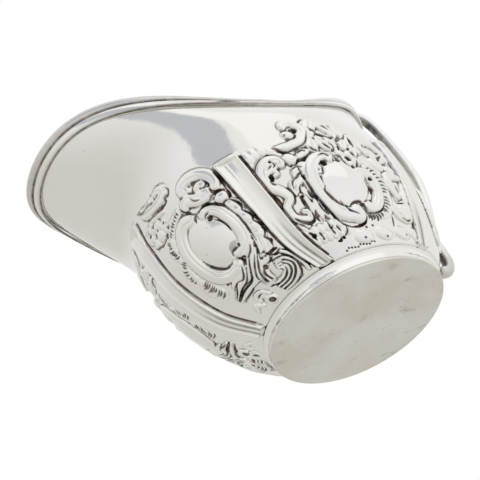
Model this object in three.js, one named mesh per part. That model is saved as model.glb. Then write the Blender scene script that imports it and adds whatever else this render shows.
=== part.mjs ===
// A small silver sauce boat: a raised bowl drawn out to a broad spout, with fluted ribs and domed bosses on
// its lower part, a moulded rim wire, a low round foot closed by a flat disc, and one loop handle at the back.
// Millimetres. Z is up and z = 0 is the underside of the foot. The spout points along -X, the handle along +X.
import * as THREE from "three";

// ---- driving dimensions ----------------------------------------------------------------------------------
const FOOT_RADIUS = 30; // the boat's other outlines are multiples of this
const WALL = 1.2; // thickness of the bowl
const GAP = 0.3; // between pieces that are soldered together

// Outlines of the bowl from the foot up to the lip, in foot radii. front, back and half are the reach towards
// the spout, towards the handle and sideways. widest is where along X the outline is broadest.
const OUTLINES = [
  { height: 0.17, front: 1.05, back: 1.05, half: 1.05, widest: 0.0 },
  { height: 0.44, front: 1.44, back: 1.16, half: 1.23, widest: -0.12 },
  { height: 0.9, front: 1.73, back: 1.22, half: 1.42, widest: -0.2 },
  { height: 1.41, front: 1.86, back: 1.16, half: 1.55, widest: -0.4 },
  { height: 1.9, front: 1.98, back: 1.07, half: 1.55, widest: -0.6 },
  { height: 2.35, front: 2.73, back: 1.14, half: 1.4, widest: -0.52 },
];
// The lip's height swings round the boat: high at the spout, low at the sides, a little up at the handle.
const LIP_WAVES = [0.22, 0.24, -0.08, -0.085];
const LIP_LIFT_FROM = 0.5; // share of the wall above which it starts to follow the lip
const LIP_LIFT_POWER = 1.6;

// The ribs, by degrees round from the spout. top is the share of the wall where a rib ends under its cap.
const RIBS = [
  { angle: 0, top: 0.735 },
  { angle: 58, top: 0.6 },
  { angle: 127, top: 0.6 },
  { angle: 180, top: 0.6 },
  { angle: 233, top: 0.6 },
  { angle: 302, top: 0.6 },
];
const RIB_HALF_ANGLE = 5.2; // degrees
const RIB_HEIGHT = 1.3;
const BOSS_RISE = 0.42; // share of the wall where the bosses sit
const BOSS_HALF_ANGLE = 11; // degrees
const BOSS_HALF_RISE = 0.16;
const BOSS_HEIGHT = 1.6;

const BEAD_RADIUS = 1.5; // round edge of the rim wire
const STEP_THICKNESS = 0.8; // flat step of the rim wire, outside the wall
const STEP_DROP = 2.2; // how far the step reaches down the wall

const DISC_THICKNESS = 1.0;
const EDGE_ROUND = 0.4;
const COLLAR_TOP = 0.16; // foot radii
const COLLAR_WALL = 1.2;
const COLLAR_WAIST = 0.6; // how far the collar draws in below the bowl

// Centre line of the handle in foot radii: up from the rim, over the loop, down past the lower seat and round
// the free tail.
const HANDLE_LINE = [
  { x: 1.34, z: 2.45 },
  { x: 1.31, z: 2.7 },
  { x: 1.33, z: 2.9 },
  { x: 1.42, z: 3.02 },
  { x: 1.53, z: 2.93 },
  { x: 1.61, z: 2.68 },
  { x: 1.67, z: 2.25 },
  { x: 1.69, z: 1.85 },
  { x: 1.63, z: 1.5 },
  { x: 1.53, z: 1.2 },
  { x: 1.45, z: 1.0 },
  { x: 1.41, z: 0.84 },
  { x: 1.41, z: 0.66 },
  { x: 1.4, z: 0.52 },
  { x: 1.35, z: 0.43 },
  { x: 1.28, z: 0.42 },
];
const LOWER_SEAT_RISE = 0.375; // share of the wall where the lower seat sits
const HANDLE_HALF_WIDTH = 2.1; // sideways
const HANDLE_HALF_DEPTH = 1.65; // in and out
const SEAT_RADIUS = 3.2;
const SEAT_THICKNESS = 1.1;

// ---- fineness of the meshes ------------------------------------------------------------------------------
const PANEL_COLUMNS = 9;
const OUTER_ROWS = 22;
const INNER_ROWS = 10;
const TURNED_SIDES = 80;
const HANDLE_RINGS = 46;
const HANDLE_SIDES = 14;

const radians = THREE.MathUtils.degToRad;
const clamp = THREE.MathUtils.clamp;

// ---- materials -------------------------------------------------------------------------------------------
function silver(name, colour, roughness) {
  return new THREE.MeshStandardMaterial({ name, color: colour, roughness, metalness: 1 });
}

const polished = () => silver("polished_silver", 0xe2e1dc, 0.14);
const embossed = () => silver("embossed_silver", 0xd3d2cc, 0.24);
const satin = () => silver("satin_silver", 0xc9c8c2, 0.42);

// ---- solids ----------------------------------------------------------------------------------------------
function signedVolume(points, triangles) {
  const volumes = triangles.map(([a, b, c]) => points[a].dot(points[b].clone().cross(points[c])) / 6);
  return volumes.reduce((sum, volume) => sum + volume, 0);
}

// A closed solid from triangles that all face the same way, in or out.
function solid(points, triangles) {
  const outward = signedVolume(points, triangles) > 0;
  const faces = outward ? triangles : triangles.map(([a, b, c]) => [a, c, b]);
  const geometry = new THREE.BufferGeometry();
  const positions = points.flatMap((point) => point.toArray());
  geometry.setAttribute("position", new THREE.Float32BufferAttribute(positions, 3));
  geometry.setIndex(faces.flat());
  geometry.computeVertexNormals();
  return geometry;
}

// Skins a row of rings that have the same number of points. The row either closes on itself or is capped.
function loft(rings, closesOnItself) {
  const sides = rings[0].length;
  const points = rings.flat();
  const triangles = [];
  const spans = closesOnItself ? rings.length : rings.length - 1;
  for (let ring = 0; ring < spans; ring += 1) {
    const next = (ring + 1) % rings.length;
    for (let side = 0; side < sides; side += 1) {
      const after = (side + 1) % sides;
      const [a, b] = [ring * sides + side, ring * sides + after];
      const [c, d] = [next * sides + side, next * sides + after];
      triangles.push([a, b, d], [a, d, c]);
    }
  }
  if (!closesOnItself) {
    triangles.push(...cap(points, 0, sides, false));
    triangles.push(...cap(points, (rings.length - 1) * sides, sides, true));
  }
  return solid(points, triangles);
}

// A fan over the ring that starts at point `first`. Its centre is added to the points.
function cap(points, first, sides, isLast) {
  const centre = new THREE.Vector3();
  for (let side = 0; side < sides; side += 1) centre.addScaledVector(points[first + side], 1 / sides);
  points.push(centre);
  const middle = points.length - 1;
  const fan = [];
  for (let side = 0; side < sides; side += 1) {
    const [a, b] = [first + side, first + ((side + 1) % sides)];
    fan.push(isLast ? [a, b, middle] : [b, a, middle]);
  }
  return fan;
}

function turned(profile) {
  const outline = profile.map(([radius, height]) => new THREE.Vector2(radius, height));
  return new THREE.LatheGeometry(outline, TURNED_SIDES).rotateX(Math.PI / 2);
}

// ---- shape of the bowl -----------------------------------------------------------------------------------
// One size of the bowl at a share of the way up the wall, on a smooth curve through the outlines.
function sizeAt(key, rise) {
  const last = OUTLINES.length - 1;
  const along = clamp(rise, 0, 1) * last;
  const index = Math.min(Math.floor(along), last - 1);
  const share = along - index;
  const value = (i) => OUTLINES[i][key];
  const p1 = value(index);
  const p2 = value(index + 1);
  const p0 = index > 0 ? value(index - 1) : 2 * p1 - p2;
  const p3 = index + 2 <= last ? value(index + 2) : 2 * p2 - p1;
  const linear = (p2 - p0) * share;
  const square = (2 * p0 - 5 * p1 + 4 * p2 - p3) * share ** 2;
  const cube = (3 * p1 - p0 - 3 * p2 + p3) * share ** 3;
  return (FOOT_RADIUS * (2 * p1 + linear + square + cube)) / 2;
}

function lipHeight(angle) {
  const swings = LIP_WAVES.map((swing, i) => swing * Math.cos((i + 1) * angle));
  return FOOT_RADIUS * swings.reduce((sum, swing) => sum + swing, 0);
}

// Point on the plain outer skin. The angle runs round from the spout by way of -Y; rise is 0 at the foot and
// 1 at the lip.
function skinPoint(angle, rise) {
  const widest = sizeAt("widest", rise);
  const reach = Math.cos(angle) >= 0 ? sizeAt("front", rise) + widest : sizeAt("back", rise) - widest;
  const lift = clamp((rise - LIP_LIFT_FROM) / (1 - LIP_LIFT_FROM), 0, 1) ** LIP_LIFT_POWER;
  return new THREE.Vector3(
    widest - reach * Math.cos(angle),
    -sizeAt("half", rise) * Math.sin(angle),
    sizeAt("height", rise) + lift * lipHeight(angle),
  );
}

// Directions at a point of the skin: straight out of it and up the wall.
function skinFrame(angle, rise) {
  const step = 1e-3;
  const low = Math.max(rise - step, 0);
  const along = skinPoint(angle + step, rise).sub(skinPoint(angle - step, rise)).normalize();
  const up = skinPoint(angle, low + step).sub(skinPoint(angle, low));
  const out = along.clone().cross(up).normalize();
  return { out, up: out.clone().cross(along) };
}

// ---- relief on the bowl ----------------------------------------------------------------------------------
function angleBetween(a, b) {
  const turn = (((a - b) % 360) + 540) % 360;
  return turn - 180;
}

// Ribs are channels between two raised borders, so their section is high at the sides and low in the middle.
function ribHeight(degrees, rise) {
  const away = (rib) => Math.abs(angleBetween(degrees, rib.angle));
  const nearest = RIBS.reduce((best, rib) => (away(rib) < away(best) ? rib : best));
  const across = away(nearest) / RIB_HALF_ANGLE;
  if (across >= 1 || rise > nearest.top) return 0;
  const fadeIn = clamp(rise / 0.06, 0, 1);
  return RIB_HEIGHT * fadeIn * (across < 0.6 ? 0.35 + 0.65 * (across / 0.6) ** 2 : 1);
}

// Degrees from a rib round to the next one.
function panelWidth(index) {
  return angleBetween(RIBS[(index + 1) % RIBS.length].angle, RIBS[index].angle);
}

function bossHeight(degrees, rise) {
  const middles = RIBS.map(({ angle }, i) => angle + panelWidth(i) / 2);
  const turn = Math.min(...middles.map((middle) => Math.abs(angleBetween(degrees, middle))));
  const away = Math.hypot(turn / BOSS_HALF_ANGLE, (rise - BOSS_RISE) / BOSS_HALF_RISE);
  return BOSS_HEIGHT * Math.sqrt(Math.max(1 - away ** 2, 0));
}

// Angles of the mesh columns: across each rib's borders and channel, then evenly over the panel beside it.
function columnAngles() {
  const acrossRib = [-1, -0.62, 0, 0.62, 1].map((share) => share * RIB_HALF_ANGLE);
  return RIBS.flatMap(({ angle }, i) => {
    const panel = panelWidth(i) - 2 * RIB_HALF_ANGLE;
    const evenly = Array.from({ length: PANEL_COLUMNS }, (_, k) => (panel * (k + 1)) / (PANEL_COLUMNS + 1));
    return [...acrossRib.map((turn) => angle + turn), ...evenly.map((turn) => angle + RIB_HALF_ANGLE + turn)];
  });
}

function outerRing(rise) {
  return columnAngles().map((degrees) => {
    const relief = ribHeight(degrees, rise) + bossHeight(degrees, rise);
    const { out } = skinFrame(radians(degrees), rise);
    return skinPoint(radians(degrees), rise).addScaledVector(out, relief);
  });
}

function innerRing(rise) {
  const floor = sizeAt("height", 0) + WALL;
  return columnAngles().map((degrees) => {
    const { out } = skinFrame(radians(degrees), rise);
    const point = skinPoint(radians(degrees), rise).addScaledVector(out, -WALL);
    point.z = Math.max(point.z, floor);
    return point;
  });
}

function bowl() {
  const outer = Array.from({ length: OUTER_ROWS + 1 }, (_, i) => outerRing(i / OUTER_ROWS));
  const inner = Array.from({ length: INNER_ROWS + 1 }, (_, i) => innerRing(1 - i / INNER_ROWS));
  return loft([...outer, ...inner], false);
}

// ---- rim wire --------------------------------------------------------------------------------------------
// Section of the wire, as [out from the wall, up the wall] from the wall's top outer edge: a round bead that
// covers the edge and a flat step that hangs outside the wall.
function rimSection() {
  const beadCentre = [-WALL / 2 + 0.4, GAP + BEAD_RADIUS];
  const bead = [-20, 20, 60, 100, 140, 180, 215].map((turn) => [
    beadCentre[0] + BEAD_RADIUS * Math.cos(radians(turn)),
    beadCentre[1] + BEAD_RADIUS * Math.sin(radians(turn)),
  ]);
  const step = [
    [beadCentre[0] - BEAD_RADIUS * 0.6, GAP],
    [GAP, GAP],
    [GAP, -STEP_DROP],
    [GAP + STEP_THICKNESS * 0.7, -STEP_DROP],
    [GAP + STEP_THICKNESS, -STEP_DROP * 0.6],
    [GAP + STEP_THICKNESS * 0.8, 0],
  ];
  return [...bead, ...step];
}

function rimWire() {
  const section = rimSection();
  const rings = columnAngles().map((degrees) => {
    const corner = skinPoint(radians(degrees), 1);
    const { out, up } = skinFrame(radians(degrees), 1);
    return section.map(([away, along]) => corner.clone().addScaledVector(out, away).addScaledVector(up, along));
  });
  return loft(rings, true);
}

// ---- foot ------------------------------------------------------------------------------------------------
function baseDisc() {
  return turned([
    [0, 0],
    [FOOT_RADIUS - EDGE_ROUND, 0],
    [FOOT_RADIUS, EDGE_ROUND],
    [FOOT_RADIUS, DISC_THICKNESS - EDGE_ROUND],
    [FOOT_RADIUS - EDGE_ROUND, DISC_THICKNESS],
    [0, DISC_THICKNESS],
  ]);
}

function footCollar() {
  const bottom = DISC_THICKNESS + GAP;
  const top = COLLAR_TOP * FOOT_RADIUS;
  const middle = (bottom + top) / 2;
  const outer = FOOT_RADIUS - EDGE_ROUND;
  const inner = outer - COLLAR_WALL - COLLAR_WAIST;
  return turned([
    [inner, bottom],
    [outer, bottom],
    [outer - COLLAR_WAIST * 0.7, middle],
    [outer - COLLAR_WAIST, middle + 0.6],
    [outer - COLLAR_WAIST * 0.4, top - 0.4],
    [outer + COLLAR_WAIST, top],
    [inner, top],
    [inner, bottom],
  ]);
}

// ---- handle ----------------------------------------------------------------------------------------------
// Where each seat touches the boat, and the way it faces: on the rim wire's step, and on the back rib.
function upperSeatPlace() {
  const { out, up } = skinFrame(Math.PI, 1);
  const face = skinPoint(Math.PI, 1).addScaledVector(up, -STEP_DROP / 2);
  return { face: face.addScaledVector(out, 2 * GAP + STEP_THICKNESS), out };
}

function lowerSeatPlace() {
  const { out } = skinFrame(Math.PI, LOWER_SEAT_RISE);
  return { face: skinPoint(Math.PI, LOWER_SEAT_RISE).addScaledVector(out, RIB_HEIGHT + GAP), out };
}

// A small plate with a chamfered edge that the handle is soldered to.
function seat({ face, out }) {
  const plate = turned([
    [0, 0],
    [SEAT_RADIUS, 0],
    [SEAT_RADIUS, SEAT_THICKNESS * 0.5],
    [SEAT_RADIUS * 0.7, SEAT_THICKNESS],
    [0, SEAT_THICKNESS],
  ]);
  const turn = new THREE.Quaternion().setFromUnitVectors(new THREE.Vector3(0, 0, 1), out);
  return plate.applyQuaternion(turn).translate(...face.toArray());
}

function handleCurve() {
  const leaving = ({ face, out }, distance) => face.clone().addScaledVector(out, SEAT_THICKNESS + distance);
  const upper = upperSeatPlace();
  const line = [
    leaving(upper, GAP),
    leaving(upper, HANDLE_HALF_DEPTH),
    ...HANDLE_LINE.map(({ x, z }) => new THREE.Vector3(x * FOOT_RADIUS, 0, z * FOOT_RADIUS)),
  ];
  return new THREE.CatmullRomCurve3(line, false, "centripetal");
}

function handleLoop() {
  const curve = handleCurve();
  const sideways = new THREE.Vector3(0, 1, 0);
  const rings = Array.from({ length: HANDLE_RINGS }, (_, i) => {
    const share = i / (HANDLE_RINGS - 1);
    const centre = curve.getPointAt(share);
    const outward = sideways.clone().cross(curve.getTangentAt(share));
    return Array.from({ length: HANDLE_SIDES }, (_, side) => {
      const turn = (2 * Math.PI * side) / HANDLE_SIDES;
      const across = sideways.clone().multiplyScalar(HANDLE_HALF_WIDTH * Math.cos(turn));
      return centre.clone().add(across).addScaledVector(outward, HANDLE_HALF_DEPTH * Math.sin(turn));
    });
  });
  return loft(rings, false);
}

// ---- assembly --------------------------------------------------------------------------------------------
function piece(name, geometry, material) {
  const mesh = new THREE.Mesh(geometry, material);
  mesh.name = name;
  return mesh;
}

const boat = new THREE.Group();
boat.name = "silver_sauce_boat";
boat.add(
  piece("body_shell", bowl(), embossed()),
  piece("rim_wire", rimWire(), polished()),
  piece("foot_collar", footCollar(), polished()),
  piece("base_disc", baseDisc(), satin()),
  piece("handle_loop", handleLoop(), polished()),
  piece("handle_upper_seat", seat(upperSeatPlace()), polished()),
  piece("handle_lower_seat", seat(lowerSeatPlace()), polished()),
);

export default boat;
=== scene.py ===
"""A small embossed silver sauce boat, seen from below and in front with its spout to the left."""
import math

import bpy
import numpy as np
from mathutils import Matrix, Vector


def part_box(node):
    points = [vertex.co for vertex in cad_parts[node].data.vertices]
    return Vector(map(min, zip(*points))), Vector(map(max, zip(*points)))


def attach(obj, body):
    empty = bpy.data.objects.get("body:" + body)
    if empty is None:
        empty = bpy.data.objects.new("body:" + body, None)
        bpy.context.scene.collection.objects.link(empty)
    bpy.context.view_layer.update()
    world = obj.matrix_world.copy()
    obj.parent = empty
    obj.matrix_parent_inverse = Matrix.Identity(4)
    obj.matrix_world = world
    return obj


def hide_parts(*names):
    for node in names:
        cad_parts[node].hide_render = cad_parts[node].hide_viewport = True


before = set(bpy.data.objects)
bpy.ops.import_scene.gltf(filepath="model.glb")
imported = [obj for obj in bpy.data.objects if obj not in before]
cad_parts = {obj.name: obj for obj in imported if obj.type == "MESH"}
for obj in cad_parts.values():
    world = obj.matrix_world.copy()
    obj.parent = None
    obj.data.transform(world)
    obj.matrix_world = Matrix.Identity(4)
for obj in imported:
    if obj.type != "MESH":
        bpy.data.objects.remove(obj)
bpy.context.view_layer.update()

# ---- sizes, all worked out from the frame ----------------
disc_low, disc_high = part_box("base_disc")
FOOT_RADIUS = (disc_high.x - disc_low.x) / 2
MM = FOOT_RADIUS / 30  # the foot is 30 units in radius, and a unit is a millimetre at the frame's size
WALL = 1.2 * MM

# Outlines of the bowl from the foot up to the lip, in foot radii, as height, reach to the spout, reach to the
# handle, reach sideways, and where along X the outline is broadest.
OUTLINES = np.array([
    (0.17, 1.05, 1.05, 1.05, 0.0),
    (0.44, 1.44, 1.16, 1.23, -0.12),
    (0.9, 1.73, 1.22, 1.42, -0.2),
    (1.41, 1.86, 1.16, 1.55, -0.4),
    (1.9, 1.98, 1.07, 1.55, -0.6),
    (2.35, 2.73, 1.14, 1.4, -0.52),
])
LIP_WAVES = (0.22, 0.24, -0.08, -0.085)
LIP_LIFT_FROM = 0.5
LIP_LIFT_POWER = 1.6

# The ribs: angle round from the spout at the foot, turn up to the lip, and share of the wall at the top.
RIBS = [(0, 0, 0.735), (59.5, -5, 0.605), (125, 7, 0.6), (180, 0, 0.6), (235, -7, 0.6), (300.5, 5, 0.605)]
RIB_HALF_WIDTHS = (2.5, 3.1, 3.5, 4.0)  # millimetres, at even steps from the foot to the cap

RIB_FLOOR = 0.25  # height of a rib along its middle, where it is hollow
RIB_BORDER = 1.25  # height of its edges
RIB_CAP = 1.5

BROAD_JOINT = 0.48  # half width of the deep dark joints in the ornament, and their depth
BROAD_DEPTH = 0.8
FINE_JOINT = 0.31
FINE_DEPTH = 0.6

BEAD_RADIUS = 1.5  # round edge of the rim wire
BEAD_CENTRE = (-0.2, 1.8)  # out from the lip and above it
LOWER_SEAT_RISE = 0.375  # share of the wall where the lower seat sits
HANDLE_HALF_WIDTH = 2.1  # sideways
HANDLE_HALF_DEPTH = 1.65  # in and out
SEAT_RADIUS = 3.2
SEAT_THICKNESS = 1.1

COLUMNS = 1600  # points round the bowl
ORNAMENT_TOP = 0.78  # share of the wall that the ornament reaches
ORNAMENT_ROWS = 310
PLAIN_ROWS = 40
INNER_ROWS = 26
RIM_COLUMNS = 480
TURNED_SIDES = 192

MOAT_DEPTH = 0.22  # how far the silver sinks round the ornament
MOAT_BLUR = 2.6  # this and the next blurs are in steps of the bowl's grid
RELIEF_BLUR = 0.7
HOLLOW_BLUR = 2.8
OXIDE_FROM = 0.13  # depth of a hollow at which it starts to turn dark
OXIDE_SPAN = 0.16  # and how much deeper it is when fully dark

RIM_REFLECTION_ANGLE = 1.4  # angle round from the spout of a painted dark reflection on the rim's step
CAMERA_DISTANCE = 14  # this and the next sizes are in foot radii
STUDIO_DISTANCE = 20
FLOOR_HALF = 150
CLIP_END = 400


# ---- shape of the bowl -----------------------------------
def on_curve(before, start, end, after, share):
    """A place between start and end, on the smooth curve through four points."""
    linear = (end - before) * share
    square = (2 * before - 5 * start + 4 * end - after) * share**2
    cube = (3 * start - before - 3 * end + after) * share**3
    return (2 * start + linear + square + cube) / 2


def extended(points):
    """Points with one more at each end, straight on."""
    return np.concatenate([[2 * points[0] - points[1]], points, [2 * points[-1] - points[-2]]])


def size_at(column, rise):
    """One size of the bowl at a share of the way up the wall, on a smooth curve through the outlines."""
    values = extended(OUTLINES[:, column])
    last = len(OUTLINES) - 1
    along = np.clip(rise, 0, 1) * last
    index = np.minimum(along.astype(int), last - 1)
    return FOOT_RADIUS * on_curve(*(values[index + step] for step in range(4)), along - index)


def skin(angle, rise):
    """Points of the plain outer skin. The angle runs round from the spout by way of -Y."""
    angle, rise = np.broadcast_arrays(np.asarray(angle, float), np.asarray(rise, float))
    height, front, back, half, widest = (size_at(column, rise) for column in range(5))
    reach = np.where(np.cos(angle) >= 0, front + widest, back - widest)
    lift = np.clip((rise - LIP_LIFT_FROM) / (1 - LIP_LIFT_FROM), 0, 1) ** LIP_LIFT_POWER
    swing = sum(size * np.cos((i + 1) * angle) for i, size in enumerate(LIP_WAVES))
    x = widest - reach * np.cos(angle)
    y = -half * np.sin(angle)
    z = height + lift * swing * FOOT_RADIUS
    return np.stack([x, y, z], axis=-1)


def normalised(vectors):
    return vectors / np.linalg.norm(vectors, axis=-1, keepdims=True)


def skin_frame(angle, rise):
    """Directions at points of the skin: straight out of it, and up the wall."""
    step = 1e-3
    low = np.clip(np.asarray(rise, float) - step, 0, 1 - step)
    along = normalised(skin(angle + step, rise) - skin(angle - step, rise))
    up = skin(angle, low + step) - skin(angle, low)
    out = normalised(np.cross(along, up))
    return out, np.cross(out, along)


# ---- relief ----------------------------------------------
def smooth_line(points, spacing=0.35):
    """A smooth line through some points, as many points close together."""
    points = np.asarray(points, float)
    knots = extended(points)
    line = []
    for i in range(len(points) - 1):
        steps = max(2, int(np.linalg.norm(knots[i + 2] - knots[i + 1]) / spacing))
        line.extend(on_curve(*knots[i : i + 4], share) for share in np.arange(steps) / steps)
    return np.array([*line, points[-1]])


def blurred(values, radius):
    """Values on the bowl's grid softened by a bell curve, both ways. The columns run on round the bowl."""
    reach = max(1, int(3 * radius))
    weights = np.exp(-0.5 * (np.arange(-reach, reach + 1) / radius) ** 2)
    weights /= weights.sum()
    rows = np.pad(values, ((reach, reach), (0, 0)), mode="edge")
    soft = sum(weight * rows[i : i + len(values)] for i, weight in enumerate(weights))
    columns = np.pad(soft, ((0, 0), (reach, reach)), mode="wrap")
    return sum(weight * columns[:, i : i + values.shape[1]] for i, weight in enumerate(weights))


def rounded(across):
    """Section of a soft flat-topped ridge."""
    return np.sqrt(np.clip(1 - np.abs(across) ** 2.6, 0, 1))


def scroll_section(across):
    """Section of a scroll, with a fine groove to one side."""
    groove = 0.3 * np.exp(-(((across - 0.35) / 0.12) ** 2))
    return rounded(across) * (1 - groove)


def turned_scroll_section(across):
    return scroll_section(-across)


def veined_section(across):
    """Section of a leaf, with a groove for its vein."""
    vein = 0.4 * np.exp(-((across / 0.16) ** 2))
    return rounded(across) ** 0.8 * (1 - vein)


class Sheet:
    """Relief on one stretch of the bowl. x runs round the boat and y up it along the skin, in millimetres.

    height is what is raised, cut what is cut in, and ink how dark the silver has turned.
    """

    def __init__(self, x, y):
        self.x = x
        self.y = y
        self.height = np.zeros(x.shape)
        self.cut = np.zeros(x.shape)
        self.ink = np.zeros(x.shape)

    def layers(self):
        return self.height, self.cut, self.ink

    def near(self, points, margin):
        """The part of the sheet within a margin of some points, as slices of its rows and columns."""
        low = np.min(points, axis=0) - margin
        high = np.max(points, axis=0) + margin
        rows = np.flatnonzero((self.y[:, 0] >= low[1]) & (self.y[:, 0] <= high[1]))
        if not len(rows):
            return None
        rows = slice(rows[0], rows[-1] + 1)
        inside = (self.x[rows] >= low[0]) & (self.x[rows] <= high[0])
        columns = np.flatnonzero(inside.any(axis=0))
        if not len(columns):
            return None
        return rows, slice(columns[0], columns[-1] + 1)

    def across(self, points, half, widths):
        """How far each place near a stroke is across it, from -1 to 1 over its width."""
        line = smooth_line(points)
        part = self.near(line, half * max(widths) + 0.5)
        if part is None:
            return None
        x, y = self.x[part], self.y[part]
        far = np.full(x.shape, 9.0)
        side = np.ones(x.shape)
        spans = len(line) - 1
        for i in range(spans):
            start, step = line[i], line[i + 1] - line[i]
            length = np.hypot(*step)
            share = np.clip(((x - start[0]) * step[0] + (y - start[1]) * step[1]) / length**2, 0, 1)
            off_x = x - start[0] - share * step[0]
            off_y = y - start[1] - share * step[1]
            place = (i + share) / spans
            width = half * np.interp(place, np.linspace(0, 1, len(widths)), widths)
            ratio = np.hypot(off_x, off_y) / width
            closer = ratio < far
            far[closer] = ratio[closer]
            turn = step[0] * off_y - step[1] * off_x
            side[closer] = np.where(turn[closer] < 0, -1, 1)
        return part, far * side

    def raise_to(self, part, height):
        self.height[part] = np.maximum(self.height[part], height)

    def carve(self, part, inside, depth, tone):
        """Cuts in by a depth where inside is 1, and darkens the cut up to its edge."""
        self.cut[part] = np.maximum(self.cut[part], depth * inside)
        self.ink[part] = np.maximum(self.ink[part], tone * np.clip(3 * inside, 0, 1))

    def scroll(self, points, half, height, widths=(0.5, 1, 1, 0.8), section=scroll_section):
        """A raised stroke along a smooth line. widths are shares of its full half width, at even steps."""
        found = self.across(points, half, widths)
        if found is None:
            return
        part, across = found
        self.raise_to(part, height * np.where(np.abs(across) < 1, section(across), 0))

    def ridge(self, points, half, height, widths=(0.5, 1, 1, 0.8)):
        self.scroll(points, half, height, widths, rounded)

    def leaf(self, points, half, height):
        self.scroll(points, half, height, (0.15, 0.8, 1, 0.75, 0.12), veined_section)

    def line(self, points, half, depth=FINE_DEPTH, tone=1):
        """A sharp joint between ridges, where the silver has turned dark."""
        found = self.across(points, half, (0.35, 1, 1, 0.35))
        if found is None:
            return
        part, across = found
        self.carve(part, np.clip(1 - across**2, 0, 1), depth, tone)

    def boss(self, centre, radii, height, turn=0, power=0.5):
        """A dome over an ellipse, turned by some degrees."""
        part = self.near([centre], max(radii) + 0.5)
        if part is None:
            return
        x, y = self.x[part] - centre[0], self.y[part] - centre[1]
        c, s = math.cos(math.radians(turn)), math.sin(math.radians(turn))
        away = ((c * x + s * y) / radii[0]) ** 2 + ((c * y - s * x) / radii[1]) ** 2
        self.raise_to(part, height * np.clip(1 - away, 0, 1) ** power)

    def pit(self, centre, radius, depth):
        """A round dark hole."""
        part = self.near([centre], radius + 0.5)
        if part is None:
            return
        away = ((self.x[part] - centre[0]) ** 2 + (self.y[part] - centre[1]) ** 2) / radius**2
        inside = np.clip(1 - away, 0, 1)
        self.cut[part] = np.maximum(self.cut[part], depth * inside**0.5)
        self.ink[part] = np.maximum(self.ink[part], np.clip(3 * inside, 0, 1))

    def fringe(self, points, count, length, lean=90, half=0.32, depth=0.55):
        """Short cuts side by side along a line, each leaning from it by an angle."""
        line = smooth_line(points)
        places = np.linspace(0, len(line) - 1, count).astype(int)
        for index, place in enumerate(places):
            step = line[min(place + 1, len(line) - 1)] - line[max(place - 1, 0)]
            heading = math.atan2(step[1], step[0]) + math.radians(lean)
            reach = length * (0.75 + 0.1 * (index * 3 % 5))
            end = line[place] + reach * np.array([math.cos(heading), math.sin(heading)])
            bow = 0.12 * length * np.array([-math.sin(heading), math.cos(heading)])
            middle = (line[place] + end) / 2 + bow
            self.line([line[place], middle, end], half, depth)


# ---- ornament --------------------------------------------
# Each panel is drawn once, as seen from outside with the foot below, and x is 0 on its middle line. The front
# panel lies between the front rib and the second, and the side panel between the second and the third.
def front_dome(sheet):
    """The dome and the two scrolls that frame it."""
    sheet.boss((1, 28), (7.6, 9.4), 1.3, turn=12, power=0.6)
    sheet.scroll([(0.2, 38), (-3, 38.6), (-6, 36.6), (-8.2, 31.5), (-8.2, 25.5), (-6.4, 19.8), (-3.2, 17),
                  (0.4, 16.9)], 2.5, 1.3, (0.9, 1, 1, 1, 0.95, 0.75))
    sheet.boss((1.6, 17.4), (1.9, 1.9), 1.3)
    sheet.scroll([(5.2, 34.6), (3.9, 35.9), (6.4, 36.2), (9.2, 33.6), (10.3, 29), (10, 24.6), (8.2, 21.3),
                  (5.6, 19.7)], 2.2, 1.35, (0.35, 0.7, 0.9, 1, 1, 1, 0.95, 0.85))
    sheet.boss((4.7, 19.8), (2, 1.6), 1.3)


def front_frill(sheet):
    """Leafy frill between the right scroll and the rib."""
    for centre, radii, turn in (
        ((12.4, 36.8), (2.5, 2), 0), ((13.4, 33.4), (2.3, 2), 20), ((13.7, 30.4), (2.1, 2.5), 0),
        ((14, 27.1), (2.1, 2.5), 0), ((13.7, 23.8), (2.1, 2.5), -5), ((13.1, 20.8), (2.1, 2.2), -10),
    ):
        sheet.boss(centre, radii, 1.1, turn)
    sheet.leaf([(13.4, 19.8), (12.7, 17.4), (11.2, 15.4), (9.6, 14.8)], 1.6, 1)
    sheet.leaf([(12, 23), (11.8, 19.6), (10.4, 17), (8.6, 15.6)], 1.5, 1)


def front_band(sheet):
    """Leafy band under the top scroll."""
    sheet.scroll([(0.6, 42.2), (2.6, 43.4), (5, 41.6), (8.2, 40), (10.4, 39.6)], 2.2, 1.2,
                 (0.8, 1, 1, 0.9, 0.6))
    sheet.boss((8.4, 41.6), (3.2, 1.9), 1.15, turn=-12)
    sheet.boss((13, 41), (1.9, 1.8), 1.15)


def front_top_scroll(sheet):
    """Top scroll."""
    sheet.scroll([(2.6, 46.4), (3.6, 48.2), (7.2, 48.8), (11, 47.6), (13.4, 44.8), (13.7, 42), (12.8, 40.8)],
                 2.2, 1.25, (0.5, 0.9, 1, 1, 1, 0.9, 0.7), turned_scroll_section)
    sheet.boss((9.1, 43.9), (2.6, 2.2), 1.05)
    sheet.boss((4, 46), (2.2, 1.5), 0.95)


def front_long_scroll(sheet):
    """Long scroll at the top left, with a curled head."""
    sheet.scroll([(-16.6, 57.6), (-14.4, 54.6), (-11, 52.6), (-7, 51.4), (-3.6, 51.5), (-1.9, 53),
                  (-3.4, 54.7), (-6, 54.8)], 2.1, 1.1, (0.25, 0.8, 1, 1, 1, 0.9, 0.5))
    sheet.ridge([(-14.6, 57.2), (-12, 55.6), (-9.2, 55.4)], 0.9, 0.8)
    sheet.ridge([(-19, 50), (-14.5, 50.2), (-10, 49), (-6, 47.8)], 0.9, 0.6)


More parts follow.
